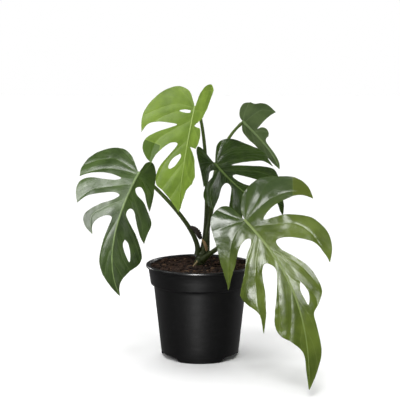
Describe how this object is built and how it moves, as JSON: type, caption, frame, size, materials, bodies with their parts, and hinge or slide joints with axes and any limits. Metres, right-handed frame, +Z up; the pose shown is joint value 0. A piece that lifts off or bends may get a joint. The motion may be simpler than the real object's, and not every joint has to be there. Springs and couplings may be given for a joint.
{
  "type": "potted monstera plant",
  "caption": "Young Swiss cheese plant with split, holed leaves on long stalks, growing in a round tapered plastic nursery pot filled with potting mix.",
  "frame": {"origin": "on the floor under the axis of the pot", "axes": "+Z up along the pot axis, -Y is the front that the largest leaf hangs towards, +X to the right seen from the front"},
  "size_m": [0.3867, 0.4343, 0.4266],
  "materials": {
    "pot_plastic": "gloss",
    "potting_mix": "matte",
    "root": "matte",
    "stem": "satin",
    "dark_sheath": "matte",
    "dry_sheath": "matte",
    "petiole": "satin",
    "leaf_left": "satin",
    "leaf_young": "satin",
    "leaf_middle": "satin",
    "leaf_right": "satin",
    "leaf_upper": "satin"
  },
  "bodies": {
    "root": {"nursery_pot": "pot_plastic", "potting_soil": "potting_mix", "root_system": "root", "main_stem": "stem", "aerial_root": "root", "dark_sheath": "dark_sheath", "dry_sheath": "dry_sheath", "petiole_left": "petiole", "leaf_left": "leaf_left", "petiole_young": "petiole", "leaf_young": "leaf_young", "petiole_middle": "petiole", "leaf_middle": "leaf_middle", "petiole_right": "petiole", "leaf_right": "leaf_right", "petiole_upper": "petiole", "leaf_upper": "leaf_upper"}
  },
  "joints": []
}
